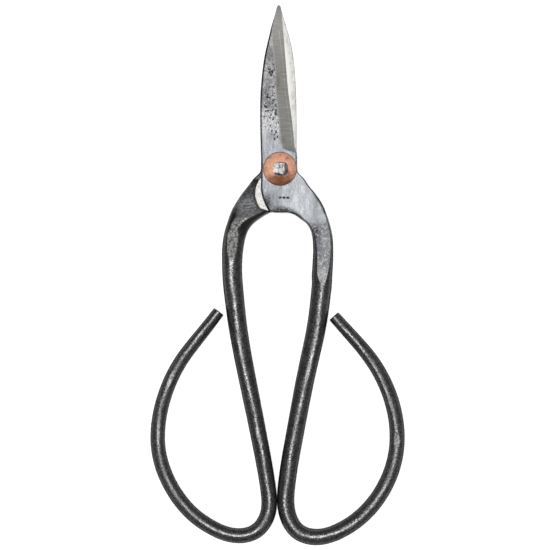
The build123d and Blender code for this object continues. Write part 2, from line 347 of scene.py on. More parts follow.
STATION_GAP = 0.4
LEFT_COLUMNS = 9
RIGHT_COLUMNS = 9
STEP_COLUMNS = 4
TOP_MIDDLE = 12
UNDER_MIDDLE = 48
WALL_COLUMNS = 2
TOP_COUNT = LEFT_COLUMNS + TOP_MIDDLE + RIGHT_COLUMNS + STEP_COLUMNS + 1
MARKS = ("ground", "bevel", "inner", "facet")
EDGE_BEAT = 0.06  # how far hammering moves an edge inwards at most
EDGE_MARK = 6.0  # size of the marks along the edges
BROAD_MARK = 5.0  # sizes of the marks on the faces
FINE_MARK = 1.6
ARRIS = (0.5, 0.55)  # depth and width of the rounding along the inner face's edges


def stations(rows):
    """Cross-sections at close even steps between the rows."""
    table = np.array(rows, float)
    left, right = table[:, 0:2], table[:, 2:4]
    gap = np.maximum(
        np.linalg.norm(np.diff(left, axis=0), axis=1), np.linalg.norm(np.diff(right, axis=0), axis=1)
    )
    knots = np.concatenate([[0], np.cumsum(gap)])
    at = [0.0]
    for a, b in zip(knots[:-1], knots[1:]):
        count = max(2, math.ceil((b - a) / STATION_GAP))
        at += list(np.linspace(a, b, count + 1)[1:])
    at = np.array(at)
    ends = hermite(knots, table[:, :4], at, False)
    profile = hermite(knots, table[:, 4:], at, True)
    return np.hstack([ends, profile])


def rounding(distance, drop, width):
    inside = 1 - np.minimum(distance / np.maximum(width, 1e-3), 1)
    return drop * (1 - np.sqrt(np.maximum(1 - inside**2, 0)))


def ease(value):
    """A smooth step from 0 to 1."""
    t = np.clip(value, 0, 1)
    return t**2 * (3 - 2 * t)


def spread(count, dense_first):
    """Shares from 0 to 1 (1 left out), close together at the start or at the end."""
    k = np.arange(count) / count
    return 1 - np.cos(k * math.pi / 2) if dense_first else np.sin(k * math.pi / 2)


def columns(width, left_zone, right_zone, step, middle):
    """Distances of the columns from the left edge, the right edge included."""
    a = left_zone * spread(LEFT_COLUMNS, True)
    b = left_zone + (width - left_zone - right_zone) * np.arange(middle) / middle
    c = width - right_zone + (right_zone - step) * spread(RIGHT_COLUMNS, False)
    d = width - step + step * np.arange(STEP_COLUMNS + 1) / STEP_COLUMNS
    return np.concatenate([a, b, c, d])


def hammer(x, y, z, size, seed):
    """Noise from 0 to 1 with marks of the given size."""
    p = Vector((x / size + seed, y / size, z / size - seed))
    return 0.5 + 0.5 * noise.noise(p)


def hammered(height, x, y, z, broad, fine, seed):
    """How far broad and fine hammer marks sink the points of a row, less where it is thin."""
    rough = np.array([
        broad * hammer(a, b, z, BROAD_MARK, seed) + fine * hammer(a, b, z, FINE_MARK, seed + 5)
        for a, b in zip(x, y)
    ])
    return rough * np.clip(height / 0.8, 0, 1)


def flat_depth(x, y, flats):
    """Depth of the places where the hammer left the rod flatter."""
    depth = 0.0
    for fx, fy, reach, deepest in flats:
        away = math.hypot(x - fx, y - fy) / reach
        depth = max(depth, deepest * max(0.0, 1 - away**2))
    return depth


def top_side(s, start, way, width, cut, seed):
    """Points and marks of the upper side, from the left edge to the right one."""
    left_zone = min(s.round_l, 0.45 * width)
    right_zone = min(max(s.bevel, s.round_r), 0.9 * (width - left_zone))
    if s.drop_r > 2:
        right_zone = min(right_zone, 0.45 * width)
    step = min(s.step_top, 0.8 * right_zone)
    d = columns(width, left_zone, right_zone, step, TOP_MIDDLE)
    x, y = start[0] + way[0] * d, start[1] + way[1] * d
    forged = (
        s.top - rounding(d, s.drop_l, s.round_l)
        - rounding(width - d, s.drop_r, s.round_r)
    )
    sunk = hammered(forged, x, y, 1, 0.09, 0.07, seed) * (1.0 if start[1] < ROUGH_FROM_Y else 0.3)
    forged = np.maximum(forged - sunk, 0.05)
    slope = max(s.ground - s.edge, 0.0) / max(s.bevel, 0.2)
    bevel = s.edge + slope * (width - d)
    flat = np.minimum(forged, s.ground)
    top = np.minimum(flat, bevel)
    if cut:
        top = np.minimum(top, s.top - cut)
    blank = np.full(len(d), -1.0)
    return np.stack([x, y, top], 1), np.stack([forged - s.ground, flat - bevel, blank, blank], 1)


def under_side(s, start, way, width, cut, ceiling, shoulder, seed):
    """Points and marks of the under side: the ground inner face, and the forging that goes round it."""
    share = min(1.0, s.under)
    left_zone = min(max(s.under_l * share, 0.6), 0.45 * width)
    right_zone = min(max(s.under_r * share, 1.2 * s.step_under), 0.45 * width)
    step = min(s.step_under, 0.8 * right_zone)
    d = columns(width, left_zone, right_zone, step, UNDER_MIDDLE)
    x, y = start[0] + way[0] * d, start[1] + way[1] * d
    plate = min(s.drop_r / PLATE_DROP, 1.0)
    edged = 0.1 + 0.9 * plate * min(max((3.0 - start[1]) / 8.0, 0.0), 1.0)
    face = INNER_Z + edged * (rounding(d, *ARRIS) + plate * rounding(width - d, *ARRIS))
    depth = s.under - WALL
    belly = s.under - rounding(d, depth, s.under_l) - rounding(width - d, depth, s.under_r)
    belly = belly - hammered(belly, x, y, 9, 0.12, 0.08, seed)
    if cut:
        belly = np.minimum(belly, s.under - cut)
    lower = np.maximum(-np.minimum(belly, s.flat), -OFF)

    disc = shoulder[2] - np.hypot(x - shoulder[0], y - shoulder[1])
    line = (y - LINE_POINT[1]) * LINE_NORMAL[1] + (x - LINE_POINT[0]) * LINE_NORMAL[0]
    pivot = np.minimum(PLATE_RIGHT - x, y - PLATE_FOOT)
    inner = np.maximum(np.minimum(disc, line), pivot)
    raised = ease((-inner - 0.05) / 0.5) * ease((PLATE_FOOT - y) / 3.0)
    if s.under < 0.05:
        raised = raised * 0
    low = np.minimum(face * (1 - raised) + lower * raised, ceiling)
    low = np.where(raised > 0, low, np.minimum(low, face))
    inner = np.minimum(inner, d - 0.4 * edged)
    inner = np.where(plate > 0.5, np.minimum(inner, width - d - 0.4 * edged), inner)
    blank = np.full(len(d), -1.0)
    return np.stack([x, y, low], 1), np.stack([blank, blank, inner, belly - s.flat], 1)


def wall(a, b):
    """Points between the upper and the under side at an edge."""
    t = (np.arange(WALL_COLUMNS) + 1)[:, None] / (WALL_COLUMNS + 1)
    return a + (b - a) * t


def rings(rows, shoulder, flats, seed):
    """Vertex rings and the surface measures that the materials read, one ring per station."""
    out = []
    for v in stations(rows):
        s = Section(*v)
        lx, ly, rx, ry = v[:4]
        width = math.hypot(rx - lx, ry - ly)
        way = ((rx - lx) / width, (ry - ly) / width)
        beaten_l = EDGE_BEAT * hammer(lx, ly, 3, EDGE_MARK, seed)
        beaten_r = EDGE_BEAT * hammer(rx, ry, 7, EDGE_MARK, seed)
        if s.bevel > 1.3 and s.edge < OUTER_Z:
            beaten_r = 0.0  # the cutting edge stays straight
        start = (lx + way[0] * beaten_l, ly + way[1] * beaten_l)
        width -= beaten_l + beaten_r
        cut = flat_depth((start[0] + rx) / 2, (start[1] + ry) / 2, flats)
        top, top_marks = top_side(s, start, way, width, cut, seed)
        ceiling = max(top[:, 2].max() - 0.1, INNER_Z)
        under, under_marks = under_side(s, start, way, width, cut, ceiling, shoulder, seed)
        blank = np.full((WALL_COLUMNS, len(MARKS)), -1.0)
        ring = np.concatenate([top, wall(top[-1], under[-1]), under[::-1], wall(under[0], top[0])])
        marks = np.concatenate([top_marks, blank, under_marks[::-1], blank])
        out.append((ring, marks))
    return out


def recess(ring, marks):
    """The body's ring where the edge steel is let in, and the steel's own ring."""
    a = TOP_COUNT - 1 - STEP_COLUMNS
    b = TOP_COUNT + WALL_COLUMNS + STEP_COLUMNS
    start, end = ring[a], ring[b]
    corner = np.array([end[0], end[1], start[2]])
    count = b - a - 1
    half = count // 2
    first = [start + (corner - start) * (k + 1) / (half + 1) for k in range(half)]
    second = [corner + (end - corner) * k / (count - half) for k in range(count - half)]
    path = np.array(first + second)
    body = ring.copy()
    body[a + 1 : b] = path
    body_marks = marks.copy()
    body_marks[a + 1 : b] = -1
    steel = np.concatenate([ring[a : b + 1], path[::-1]])
    steel_marks = np.concatenate([marks[a : b + 1], np.full((count, len(MARKS)), -1.0)])
    return (body, body_marks), (steel, steel_marks)


def mend(mesh, merge=0.0):
    """Joins vertices that lie closer than merge, and turns all faces outwards."""
    ready = bmesh.new()
    ready.from_mesh(mesh)
    if merge:
        bmesh.ops.remove_doubles(ready, verts=ready.verts, dist=merge)
    bmesh.ops.recalc_face_normals(ready, faces=ready.faces)
    ready.to_mesh(mesh)
    ready.free()


def add_object(name, data):
    thing = bpy.data.objects.new(name, data)
    bpy.context.scene.collection.objects.link(thing)
    return thing


def add_piece(name, mesh, sharp=None):
    """An object with smooth faces, its edges sharp from the given angle on."""
    mesh.polygons.foreach_set("use_smooth", [True] * len(mesh.polygons))
    if sharp:
        mesh.set_sharp_from_angle(angle=math.radians(sharp))
    return add_object(name, mesh)


def band_faces(loops, sides):
    """The quads between neighbouring loops of vertices."""
    faces = []
    for a in range(0, (loops - 1) * sides, sides):
        for j in range(sides):
            k = (j + 1) % sides
            faces.append((a + j, a + k, a + sides + k, a + sides + j))
    return faces


def skin(name, ring_list, place):
    """A closed mesh through a list of rings, with its measures stored on the vertices."""
    count = len(ring_list[0][0])
    points = np.concatenate([r for r, _ in ring_list])
    marks = np.concatenate([m for _, m in ring_list])
    mesh = bpy.data.meshes.new(name)
    faces = band_faces(len(ring_list), count)
    last = (len(ring_list) - 1) * count
    faces.append(tuple(range(count))[::-1])
    faces.append(tuple(range(last, last + count)))
    mesh.from_pydata(place(points) * MM, [], faces)
    for i, mark in enumerate(MARKS):
        layer = mesh.attributes.new(mark, "FLOAT", "POINT")
        layer.data.foreach_set("value", marks[:, i].astype(np.float32))
    mend(mesh, 2e-7)
    return add_piece(name, mesh, 38)


def as_front(p):
    return p + np.array([0, 0, MID_Z])


def as_back(p):
    return p * np.array([-1, 1, -1]) + np.array([0, 0, MID_Z])


def build_half(side, blade, plate, shank, bow, radii, crowns, flats, shoulder, place, seed):
    """The blade, edge steel and handle of one half."""
    rows = [blade_row(*r) for r in blade] + [plate_row(*r) for r in plate] + [shank_row(*r) for r in shank]
    everything = rings(rows + rod_rows(bow, radii, crowns), shoulder, flats, seed)
    along = [ring.mean(axis=0)[1] for ring, _ in everything]
    seam = next(i for i, y in enumerate(along) if y < SEAM_Y + 0.01)
    steel_from = next(i for i, y in enumerate(along) if y < STRIP_TIP_Y + 0.01)
    steel_to = max(i for i, y in enumerate(along) if y > STRIP_HEEL_Y - 0.01)
    body, steel = everything[: steel_from + 1], []
    for section in everything[steel_from : steel_to + 1]:
        cut, strip = recess(*section)
        body.append(cut)
        steel.append(strip)
    body += everything[steel_to : seam + 1]
    grip = everything[seam:]
    # The rod's end is rounded off by one ring set back and one drawn in
    ring, marks = grip[-1]
    centre = ring.mean(axis=0)
    beyond = centre - grip[-2][0].mean(axis=0)
    beyond = beyond / np.linalg.norm(beyond)
    grip[-1] = (ring - beyond * 0.25, marks)
    grip.append((centre + (ring - centre) * 0.9, marks))
    return (
        skin(f"{side}_blade_forged", body, place),
        skin(f"{side}_edge_steel_ground", steel, place),
        skin(f"{side}_handle_forged", grip, place),
    )

# ---- materials


class Paint:
    """A procedural material, built node by node around one Principled shader."""

    def __init__(self, name):
        self.material = bpy.data.materials.new(name)
        self.material.use_nodes = True
        self.tree = self.material.node_tree
        self.tree.nodes.clear()
        self.shader = self.node("BsdfPrincipled")
        self.node("OutputMaterial", Surface=self.shader.outputs[0])
        self.place = self.node("TexCoord").outputs["Object"]

    def node(self, kind, **inputs):
        node = self.tree.nodes.new("ShaderNode" + kind)
        for name, value in inputs.items():
            self.put(node.inputs[name], value)
        return node

    def put(self, socket, value):
        if isinstance(value, bpy.types.NodeSocket):
            self.tree.links.new(value, socket)
        elif isinstance(value, tuple) and len(value) == 3 and socket.type == "RGBA":
            socket.default_value = (*value, 1)
        else:
            socket.default_value = value

    def set(self, **values):
        for name, value in values.items():
            self.put(self.shader.inputs[name.replace("_", " ")], value)

    def math(self, kind, a, b=0.0):
        node = self.node("Math")
        node.operation = kind
        self.put(node.inputs[0], a)
        self.put(node.inputs[1], b)
        return node.outputs[0]

    def plus(self, a, b):
        return self.math("ADD", a, b)

    def minus(self, a, b):
        return self.math("SUBTRACT", a, b)

    def times(self, a, b):
        return self.math("MULTIPLY", a, b)

    def most(self, a, b):
        return self.math("MAXIMUM", a, b)

    def attribute(self, name):
        node = self.node("Attribute")
        node.attribute_name = name
        return node.outputs["Fac"]

    def noise(self, scale, detail, roughness, across=1.0, along=1.0, shift=(0.0, 0.0, 0.0)):
        """Noise over the object in millimetres, squeezed across and along the tool before it is shifted."""
        squeeze = (across / MM, along / MM, across / MM)
        place = self.node("Mapping", Vector=self.place, Scale=squeeze, Location=shift).outputs[0]
        node = self.node("TexNoise", Vector=place, Scale=scale, Detail=detail, Roughness=roughness)
        return node.outputs["Fac"]

    def step(self, value, low, high, a=0.0, b=1.0):
        """A smooth step of the value from low to high, giving a to b."""
        node = self.node("MapRange")
        node.interpolation_type = "SMOOTHSTEP"
        for socket, given in zip(node.inputs, (value, low, high, a, b)):
            self.put(socket, given)
        return node.outputs[0]

    def mix(self, share, a, b):
        """A colour between two colours."""
        node = self.node("Mix", Factor=share)
        node.data_type = "RGBA"
        self.put(node.inputs[6], a)
        self.put(node.inputs[7], b)
        return node.outputs[2]

    def blend(self, share, a, b):
        """A number between two numbers."""
        node = self.node("Mix", Factor=share)
        self.put(node.inputs[2], a)
        self.put(node.inputs[3], b)
        return node.outputs[0]

    def axis(self, index):
        """A coordinate in millimetres."""
        node = self.node("SeparateXYZ", Vector=self.place)
        return self.math("DIVIDE", node.outputs[index], MM)

    def near(self, x, y, inner, outer, stretch=1.0):
        """1 within the inner radius of a point seen from above, falling to 0 at the outer one."""
        dx = self.minus(self.axis(0), x)
        dy = self.times(self.minus(self.axis(1), y), 1 / stretch)
        away = self.math("SQRT", self.plus(self.times(dx, dx), self.times(dy, dy)))
        return self.step(away, inner, outer, 1.0, 0.0)

    def bump(self, height, strength, distance):
        node = self.node("Bump", Height=height, Strength=strength, Distance=distance * MM)
        self.put(self.shader.inputs["Normal"], node.outputs[0])


def scale_look(p):
    """Colour, roughness, specular level and relief of black forge scale."""
    grain = p.noise(1.5, 3.0, 0.7)
    sand = p.noise(1.9, 2.0, 0.6, shift=(4.0, 1.0, 2.0))
    broad = p.noise(0.3, 2.0, 0.5)
    tone = p.step(p.plus(p.times(grain, 0.5), p.times(broad, 0.5)), 0.38, 0.64)
    color = p.mix(tone, (0.003, 0.003, 0.0034), (0.012, 0.0118, 0.0122))
    wear_and_ridge_highlight = p.step(p.noise(0.13, 2.0, 0.6, shift=(8.0, 3.0, 0.0)), 0.42, 0.60)
    handled = p.step(p.math("ABSOLUTE", p.axis(0)), 24.0, 36.0, 0.0, 0.06)
    rough = p.plus(p.step(sand, 0.35, 0.65, 0.255, 0.335), p.times(wear_and_ridge_highlight, 0.09))
    rough = p.plus(rough, handled)
    facing = p.node("LayerWeight", Blend=0.5).outputs["Facing"]
    shine = p.step(facing, 0.24, 0.72, 1.0, 0.0)
    shine = p.times(shine, p.step(sand, 0.36, 0.62, 0.26, 1.02))
    return color, rough, shine, grain


def strokes(p):
    """Colour and relief of fine grinding lines across the blade, a few of them deeper and darker."""
    lines = p.step(p.noise(1.0, 4.0, 0.7, 0.16, 5.5), 0.30, 0.70)
    deep = p.noise(1.0, 2.0, 0.5, 0.05, 2.6, (0.0, 3.0, 0.0))
    color = p.mix(lines, (0.225, 0.222, 0.208), (0.39, 0.386, 0.366))
    return p.mix(p.step(deep, 0.66, 0.70, 0.0, 0.45), color, (0.14, 0.14, 0.13)), lines


def bright_face(p):
    """Ground inner face: pale with faint grey smudges, palest away from its edge."""
    smudge = p.step(p.noise(1.0, 5.0, 0.75, 0.9, 0.45, (1.0, 5.0, 0.0)), 0.42, 0.64)
    color = p.mix(smudge, (0.315, 0.311, 0.294), (0.222, 0.217, 0.206))
    return p.mix(p.step(p.attribute("inner"), 0.7, 2.4, 0.0, 0.75), color, (0.375, 0.372, 0.357))


def brushed_flat(p, y, fine):
    """Colour and roughness of the ground flat: streaks along the tool by the pivot, mottled up the blade."""
    streak = p.noise(1.0, 5.0, 0.75, 3.1, 0.17)
    streak = p.plus(p.times(streak, 0.55), p.times(fine, 0.45))
    mottle = p.noise(1.0, 4.0, 0.75, 1.9, 1.2)
    mixed = p.blend(p.step(y, 8.0, 17.0), streak, mottle)
    clouds = p.noise(1.0, 3.0, 0.6, 0.35, 0.12)
    level = p.plus(p.times(mixed, 0.7), p.times(clouds, 0.3))
    lift = p.times(p.step(y, 11.0, 15.0), p.step(y, 23.0, 18.0, -0.03, 0.035))
    level = p.step(p.plus(level, lift), 0.36, 0.64)
    color = p.mix(level, (0.150, 0.151, 0.156), (0.345, 0.346, 0.353))
    color = p.mix(p.step(y, 6.0, 14.0, 0.45, 0.0), color, (0.322, 0.345, 0.378))

    # Pale flecks below the pivot, strongest towards the right where they are a painted highlight, then
    # painted shade in the left corner and painted light in the right one
    flecks = p.step(p.noise(1.0, 3.0, 0.6, 2.0, 0.7, (3.0, 6.0, 0.0)), 0.56, 0.66, 0.0, 0.65)
    # Flecks all below the pivot, and a painted highlight where they grow strong near the right
    pale = p.times(p.step(y, 6.0, 2.0), p.plus(0.6, p.near(5.5, -6.0, 1.5, 6.0)))
    color = p.mix(p.times(flecks, pale), color, (0.49, 0.485, 0.475))
    patch = p.noise(1.0, 4.0, 0.75, 1.3, 0.5, (6.0, 1.0, 0.0))
    # Painted shade in the left corner and painted light in the right corner, both in patches
    shade = p.times(p.near(-4.6, -10.5, 1.5, 7.0, 1.3), p.step(patch, 0.38, 0.60, 0.12, 0.85))
    color = p.mix(shade, color, (0.140, 0.146, 0.160))
    light = p.times(p.near(6.5, -10.5, 2.0, 7.0, 1.4), p.step(patch, 0.40, 0.62, 0.15, 0.65))
    color = p.mix(light, color, (0.44, 0.447, 0.46))
    return color, p.blend(level, 0.74, 0.62)


def shank_flat(p, y, flaws):
    """Colour of the flat on the shank: duller, speckled with scale, in bluish, warm and pale patches."""
    speckle = p.step(p.noise(1.0, 4.0, 0.8, 1.1, 0.8), 0.42, 0.60)
    color = p.mix(speckle, (0.078, 0.079, 0.082), (0.330, 0.328, 0.326))
    along = p.noise(1.0, 4.0, 0.7, 0.6, 1.1, (2.0, 0.0, 0.0))
    color = p.mix(p.step(along, 0.46, 0.62, 0.0, 0.7), color, (0.080, 0.084, 0.094))
    blue = p.times(p.near(13.5, -26.8, 0.8, 3.6, 1.2), p.step(along, 0.34, 0.56, 0.2, 0.9))
    color = p.mix(blue, color, (0.100, 0.110, 0.132))
    color = p.mix(p.times(p.near(17.2, -25.0, 0.8, 3.4, 1.8), 0.35), color, (0.300, 0.285, 0.262))
    color = p.mix(p.times(p.near(14.7, -37.0, 0.4, 3.2, 1.3), 0.6), color, (0.400, 0.390, 0.370))
    color = p.mix(p.step(flaws, 0.48, 0.57, 0.0, 0.65), color, (0.062, 0.067, 0.079))
    rim = p.step(p.attribute("ground"), 0.015, 0.05, 1.0, 0.0)
    return p.mix(p.times(rim, p.step(y, -21.0, -26.0, 0.0, 0.7)), color, (0.42, 0.42, 0.42))


def dirt_and_shade_share(p, y, fine, blots):
    """Dirt in the last millimetre before each edge below the pivot and in the punch marks, and painted shade
    over dirty patches along the arch and in the plate's lower left corner.
    """
    close = p.step(p.attribute("ground"), 0.06, 0.29, 1.0, 0.0)
    dirt_and_shade = p.step(p.plus(p.times(close, 0.42), fine), 0.56, 0.72)
    dirt_and_shade = p.times(dirt_and_shade, p.step(y, -5.0, -12.0, 0.1, 0.55))
    dirt_and_shade = p.times(dirt_and_shade, p.step(y, -20.0, -15.0))
    # Along the arch and in the plate's lower left corner, in patches: painted shade mixed with dirt
    arch = p.most(p.near(0.4, -15.3, 2.4, 6.4, 0.45), p.near(-4.9, -12.4, 0.6, 3.4, 1.5))
    arch = p.times(arch, p.step(blots, 0.37, 0.47, 0.15, 0.94))
    arch = p.most(arch, p.near(7.4, -17.4, 0.15, 0.85))
    dirt_and_shade = p.most(dirt_and_shade, arch)
    above = p.step(p.axis(2), MID_Z, MID_Z + 1.0)
    for mark_x, mark_y, radius in PUNCHES:
        mark = p.near(mark_x, mark_y, radius * 0.95, radius * 1.3)
        dirt_and_shade = p.most(dirt_and_shade, p.times(above, mark))
    return dirt_and_shade


def pit_share(p, y):
    """Scale pits left in the flat, thickest half way up the blade."""
    dense = p.most(p.near(-3.1, 33.5, 0.3, 2.3, 1.7), p.near(-3.2, 21.5, 1.8, 4.6, 2.1))
    dense = p.most(dense, p.near(-1.9, 12.0, 0.6, 3.0, 1.2))
    spots = p.noise(1.0, 2.5, 0.6, 1.05, 0.85, (7.0, 2.0, 0.0))
    level = p.minus(0.70, p.times(dense, 0.145))
    pit = p.step(p.minus(spots, level), -0.012, 0.025)
    return p.times(pit, p.step(y, 7.0, 10.0))


def bevel_look(p, ragged):
    """Colour of the forging's bevel, with a stain by its heel and a warm patch half way up."""
    color, _ = strokes(p)
    stain = p.times(p.near(1.1, 10.3, 0.1, 1.5, 1.4), 0.5)
    color = p.mix(stain, color, (0.22, 0.195, 0.12))
    warm = p.times(p.near(-0.9, 30.5, 0.2, 1.5, 3.6), p.step(ragged, 0.40, 0.60, 0.2, 0.7))
    return p.mix(warm, color, (0.205, 0.188, 0.163))


# Places along the ridge where the back half's shoulder turns into its shank, where a highlight is painted on
# the rubbed ridge
RIDGE = ((-11.3, -17.1), (-12.1, -17.6), (-12.9, -18.2), (-13.6, -18.9), (-14.2, -19.8))


def forge_skin(p, y, flaws, facet, color):
    """Colour of unground steel: black scale, thin and grey on the back half's shoulder and shank, and a
    highlight painted along the ridge between them.
    """
    thin = p.times(p.near(-11.3, -10.0, 3.0, 8.0), p.step(flaws, 0.41, 0.56, 0.1, 1.0))
    grey = p.mix(p.step(y, -8.5, -12.0), (0.058, 0.058, 0.0585), (0.113, 0.115, 0.122))
    color = p.mix(thin, color, grey)
    flecks = p.step(p.noise(1.45, 4.0, 0.75, shift=(9.0, 0.0, 0.0)), 0.40, 0.61)
    facet_color = p.mix(flecks, (0.011, 0.011, 0.011), (0.245, 0.239, 0.230))
    color = p.mix(p.times(facet, 0.9), color, facet_color)
    # Pale spots along the ridge: a painted highlight on a rubbed ridge
    wear_and_ridge_highlight = 0.0
    for ridge_x, ridge_y in RIDGE:
        wear_and_ridge_highlight = p.most(wear_and_ridge_highlight, p.near(ridge_x, ridge_y, 0.1, 0.62))
    wear_and_ridge_highlight = p.times(wear_and_ridge_highlight, p.step(flaws, 0.42, 0.56, 0.1, 0.9))
    return p.mix(wear_and_ridge_highlight, color, (0.38, 0.37, 0.36))


def forged_paint(name):
    """Forge scale, with every ground face laid over it where the mesh says the face was ground."""
    p = Paint(name)
    y = p.axis(1)
    ragged = p.noise(0.9, 4.0, 0.65)
    fine = p.noise(2.4, 4.0, 0.7)
    blots = p.noise(1.0, 3.0, 0.65, 1.5, 1.7, (5.0, 5.0, 0.0))
    flaws = p.noise(1.0, 4.0, 0.75, 1.0, 1.5, (1.0, 8.0, 0.0))

    # Where each ground face reaches to, its border a little ragged
    wobble = p.times(p.minus(ragged, 0.5), 0.16)
    uneven = p.times(wobble, p.step(y, -20.0, -12.0, 0.4, 1.0))
    heel = p.times(wobble, p.step(y, 7.0, 12.0, 1.6, 0.3))
    ground = p.step(p.plus(p.attribute("ground"), uneven), -0.01, 0.03)
    bevel = p.step(p.plus(p.attribute("bevel"), heel), -0.02, 0.03)
    bevel = p.times(bevel, p.step(p.plus(y, p.times(fine, 3.0)), 7.6, 10.4, 0.25, 1.0))
    inner = p.step(p.plus(p.attribute("inner"), wobble), -0.02, 0.05)
    facet = p.step(p.plus(p.attribute("facet"), p.times(wobble, 1.6)), -0.04, 0.18)

    flat_color, flat_rough = brushed_flat(p, y, fine)
    flat_color = p.mix(p.step(y, -16.0, -21.0, 0.0, 0.85), flat_color, shank_flat(p, y, flaws))
    dark = p.times(p.near(12.5, -22.4, 0.7, 2.2, 1.7), p.step(blots, 0.44, 0.53, 0.0, 0.9))
    flat_color = p.mix(dark, flat_color, (0.03, 0.03, 0.035))
    # Nearly black: dirt by the edges and in the punch marks, and painted shade mixed with dirt along the arch
    dirt_and_shade = dirt_and_shade_share(p, y, fine, blots)
    flat_color = p.mix(dirt_and_shade, flat_color, (0.022, 0.022, 0.022))
    pit = pit_share(p, y)
    flat_color = p.mix(p.times(pit, 0.93), flat_color, (0.014, 0.014, 0.016))
    crescent = p.mix(p.step(fine, 0.40, 0.60), (0.235, 0.233, 0.224), (0.400, 0.398, 0.388))
    inner_color = p.mix(p.step(y, 0.0, -4.0), bright_face(p), crescent)

    scale_color, scale_rough, shine, grain = scale_look(p)
    color = forge_skin(p, y, flaws, facet, scale_color)
    color = p.mix(ground, color, flat_color)
    color = p.mix(bevel, color, bevel_look(p, ragged))
    color = p.mix(inner, color, inner_color)
    shine = p.times(shine, p.blend(facet, 1.0, 0.3))
    shine = p.blend(p.step(y, -26.0, -18.0), shine, 0.14)
    rough = p.blend(facet, scale_rough, 0.5)
    rough = p.blend(ground, rough, flat_rough)
    rough = p.blend(bevel, rough, 0.65)
    rough = p.blend(inner, rough, 0.6)
    marked = p.most(pit, dirt_and_shade)
    metal = p.times(ground, p.minus(1.0, p.times(marked, 0.6)))
    metal = p.most(p.most(metal, bevel), inner)
    bare = p.most(p.most(ground, bevel), inner)
    relief = p.times(grain, p.blend(bare, 1.0, 0.10))
    relief = p.minus(relief, p.times(p.times(pit, ground), 0.5))
    p.set(Base_Color=color, Roughness=rough, Metallic=metal, Specular_IOR_Level=shine)
    p.bump(relief, 1.0, 0.085)
    return p.material


def edge_paint(name):
    """Hard edge steel: the bevel above, the bright ground inner face below."""
    p = Paint(name)
    bevel = p.step(p.attribute("bevel"), -0.03, 0.02)
    bevel_color, lines = strokes(p)
    p.set(
        Base_Color=p.mix(bevel, bright_face(p), bevel_color),
        Roughness=p.blend(bevel, 0.6, 0.65), Metallic=1.0,
    )
    p.bump(lines, 0.3, 0.03)
    return p.material


def scale_paint(name):
    """Black forge scale on the round handle rods, slightly sandy and softly shining."""
    p = Paint(name)
    color, rough, shine, grain = scale_look(p)
    p.set(Base_Color=color, Roughness=rough, Metallic=0.0, Specular_IOR_Level=shine)
    p.bump(grain, 1.0, 0.09)
    return p.material


def copper_paint(name):
    """Copper, warm and mottled with a few dark spots, browned over the side away from the tips."""
    p = Paint(name)
    clouds = p.noise(0.45, 4.0, 0.65, shift=(2.0, 7.0, 0.0))
    fine = p.noise(1.5, 5.0, 0.75)
    stain = p.plus(clouds, p.times(p.near(0.9, -5.0, 0.3, 7.5), 0.40))
    stain = p.plus(stain, p.times(p.minus(fine, 0.5), 0.45))
    stain = p.step(p.minus(stain, p.times(p.axis(1), 0.03)), 0.46, 1.06)
    pink = p.mix(p.step(fine, 0.3, 0.7), (0.214, 0.109, 0.075), (0.337, 0.187, 0.137))
    orange = p.noise(0.6, 3.0, 0.6, shift=(1.0, 2.0, 6.0))
    pink = p.mix(p.step(orange, 0.42, 0.62, 0.0, 0.8), pink, (0.290, 0.145, 0.090))
    spots = p.step(p.noise(1.1, 3.0, 0.6, shift=(5.0, 3.0, 1.0)), 0.59, 0.67, 0.0, 0.6)
    corner = p.times(p.near(2.6, 3.7, 0.2, 1.3), p.step(fine, 0.42, 0.54, 0.0, 0.8))
    pink = p.mix(p.most(spots, corner), pink, (0.11, 0.045, 0.028))
    p.set(
        Base_Color=p.mix(p.times(stain, 0.9), pink, (0.090, 0.034, 0.017)),
        Roughness=p.blend(stain, 0.58, 0.66), Metallic=1.0,
    )
    p.bump(fine, 0.5, 0.06)
    return p.material


def rivet_paint(name):
    """Bare hammered steel, bright with dark grain."""
    p = Paint(name)
    fine = p.noise(1.2, 4.0, 0.7, 1.0, 0.5)
    p.set(
        Base_Color=p.mix(p.step(fine, 0.37, 0.62), (0.055, 0.053, 0.050), (0.247, 0.240, 0.233)),
        Roughness=p.blend(fine, 0.40, 0.55), Metallic=1.0,
    )
    p.bump(fine, 0.5, 0.08)
    return p.material


FORGED = forged_paint("forged_and_ground_steel")
EDGE = edge_paint("fine_ground_edge_steel")
SCALE = scale_paint("black_forge_scale")
COPPER = copper_paint("stained_copper")
RIVET = rivet_paint("peened_rivet_steel")

# ---- pieces


def drill(piece, cutters):
    for cutter in cutters:
        cut = piece.modifiers.new("cut", "BOOLEAN")
        cut.operation = "DIFFERENCE"
        cut.solver = "EXACT"
        cut.object = cutter
        bpy.context.view_layer.update()
        ready = piece.evaluated_get(bpy.context.evaluated_depsgraph_get())
        fresh = bpy.data.meshes.new_from_object(ready)
        piece.modifiers.clear()
        piece.data = fresh
        bpy.data.objects.remove(cutter)


def turned(name, outline, sides=96, centre=(0.0, 0.0)):
    """A closed solid of revolution about an upright axis; the outline runs from the axis to the axis."""
    verts, faces, loops = [], [], []
    for r, z in outline:
        if r < 1e-6:
            loops.append([len(verts)] * sides)
            verts.append((centre[0], centre[1], z))
        else:
            loops.append(list(range(len(verts), len(verts) + sides)))
            for k in range(sides):
                a = 2 * math.pi * k / sides
                verts.append((centre[0] + r * math.cos(a), centre[1] + r * math.sin(a), z))
    for low, high in zip(loops[:-1], loops[1:]):
        for k in range(sides):
            m = (k + 1) % sides
            corners = [low[k], low[m], high[m], high[k]]
            face = tuple(dict.fromkeys(corners))
            if len(face) > 2:
                faces.append(face)
    mesh = bpy.data.meshes.new(name)
    mesh.from_pydata(np.array(verts) * MM, [], faces)
    mend(mesh)
    return add_piece(name, mesh)


